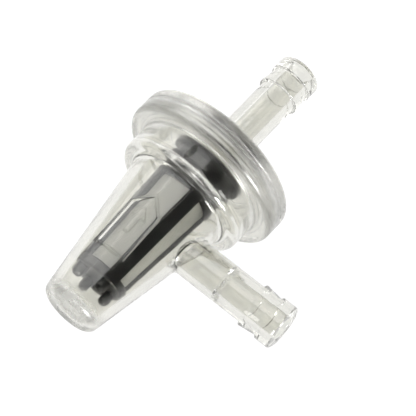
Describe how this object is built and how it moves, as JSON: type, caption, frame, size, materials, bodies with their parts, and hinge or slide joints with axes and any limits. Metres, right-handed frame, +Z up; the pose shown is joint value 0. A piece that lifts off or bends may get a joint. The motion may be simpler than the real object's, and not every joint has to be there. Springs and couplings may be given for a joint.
{
  "type": "right-angle inline fuel filter",
  "caption": "Clear right-angle fuel filter: tapered bowl with a side hose spigot, welded cap with a straight hose spigot, black basket with mesh panes inside.",
  "frame": {"origin": "on the main axis, in the plane of the weld seam between cap and bowl", "axes": "+X along the main axis towards the straight spigot, -Y along the side spigot, +Z up"},
  "size_m": [0.0611, 0.044, 0.031],
  "materials": {
    "bowl_plastic": "clear, slightly smoky moulded plastic",
    "cap_plastic": "clear, slightly smoky moulded plastic",
    "basket_plastic": "black moulded plastic, satin",
    "mesh": "fine pale woven monofilament mesh"
  },
  "bodies": {
    "root": {"bowl": "bowl_plastic", "cap": "cap_plastic", "basket_frame": "basket_plastic", "mesh_pane_1": "mesh", "mesh_pane_2": "mesh", "mesh_pane_3": "mesh", "mesh_pane_4": "mesh"}
  },
  "joints": []
}
